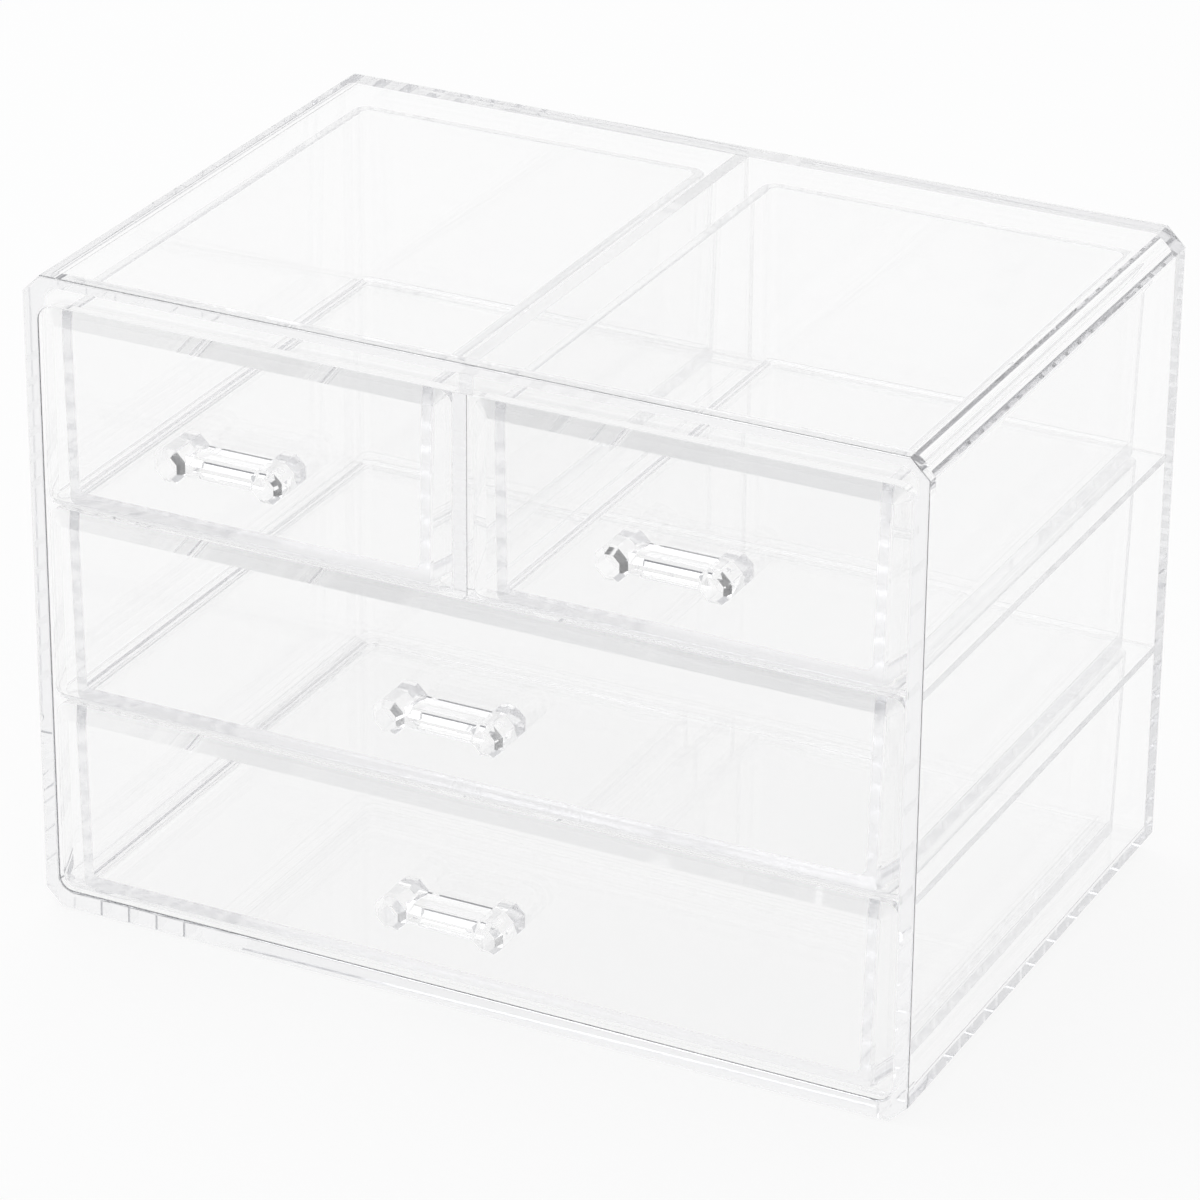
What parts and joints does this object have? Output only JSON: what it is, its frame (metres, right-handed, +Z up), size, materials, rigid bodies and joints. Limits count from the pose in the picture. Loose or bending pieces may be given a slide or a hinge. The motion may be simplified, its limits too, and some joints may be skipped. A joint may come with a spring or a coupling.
{
  "type": "stackable drawer organizer",
  "caption": "Clear rectangular tabletop organizer with small drawers side by side above full-width drawers, bevelled fronts and faceted bar handles.",
  "frame": {"origin": "middle of the flat underside that the case stands on", "axes": "+Z up, +X to the right and -Y towards the user, out of the drawer fronts"},
  "size_m": [0.24, 0.171, 0.174],
  "materials": {
    "clear_case": "clear moulded polystyrene, polished",
    "clear_drawer": "clear moulded polystyrene, polished",
    "clear_handle": "clear acrylic, faceted and polished"
  },
  "bodies": {
    "case": {"case_shell": "clear_case", "lower_shelf": "clear_case", "upper_shelf": "clear_case", "divider": "clear_case"},
    "bottom_drawer": {"bottom_drawer_tray": "clear_drawer", "bottom_drawer_front": "clear_drawer", "bottom_drawer_handle": "clear_handle"},
    "middle_drawer": {"middle_drawer_tray": "clear_drawer", "middle_drawer_front": "clear_drawer", "middle_drawer_handle": "clear_handle"},
    "top_left_drawer": {"top_left_drawer_tray": "clear_drawer", "top_left_drawer_front": "clear_drawer", "top_left_drawer_handle": "clear_handle"},
    "top_right_drawer": {"top_right_drawer_tray": "clear_drawer", "top_right_drawer_front": "clear_drawer", "top_right_drawer_handle": "clear_handle"}
  },
  "joints": [
    {"name": "bottom_drawer_slide", "type": "slide", "parent": "case", "child": "bottom_drawer", "axis": [0, -1, 0], "range_m": [0, 0.135]},
    {"name": "middle_drawer_slide", "type": "slide", "parent": "case", "child": "middle_drawer", "axis": [0, -1, 0], "range_m": [0, 0.135]},
    {"name": "top_left_drawer_slide", "type": "slide", "parent": "case", "child": "top_left_drawer", "axis": [0, -1, 0], "range_m": [0, 0.135]},
    {"name": "top_right_drawer_slide", "type": "slide", "parent": "case", "child": "top_right_drawer", "axis": [0, -1, 0], "range_m": [0, 0.135]}
  ]
}
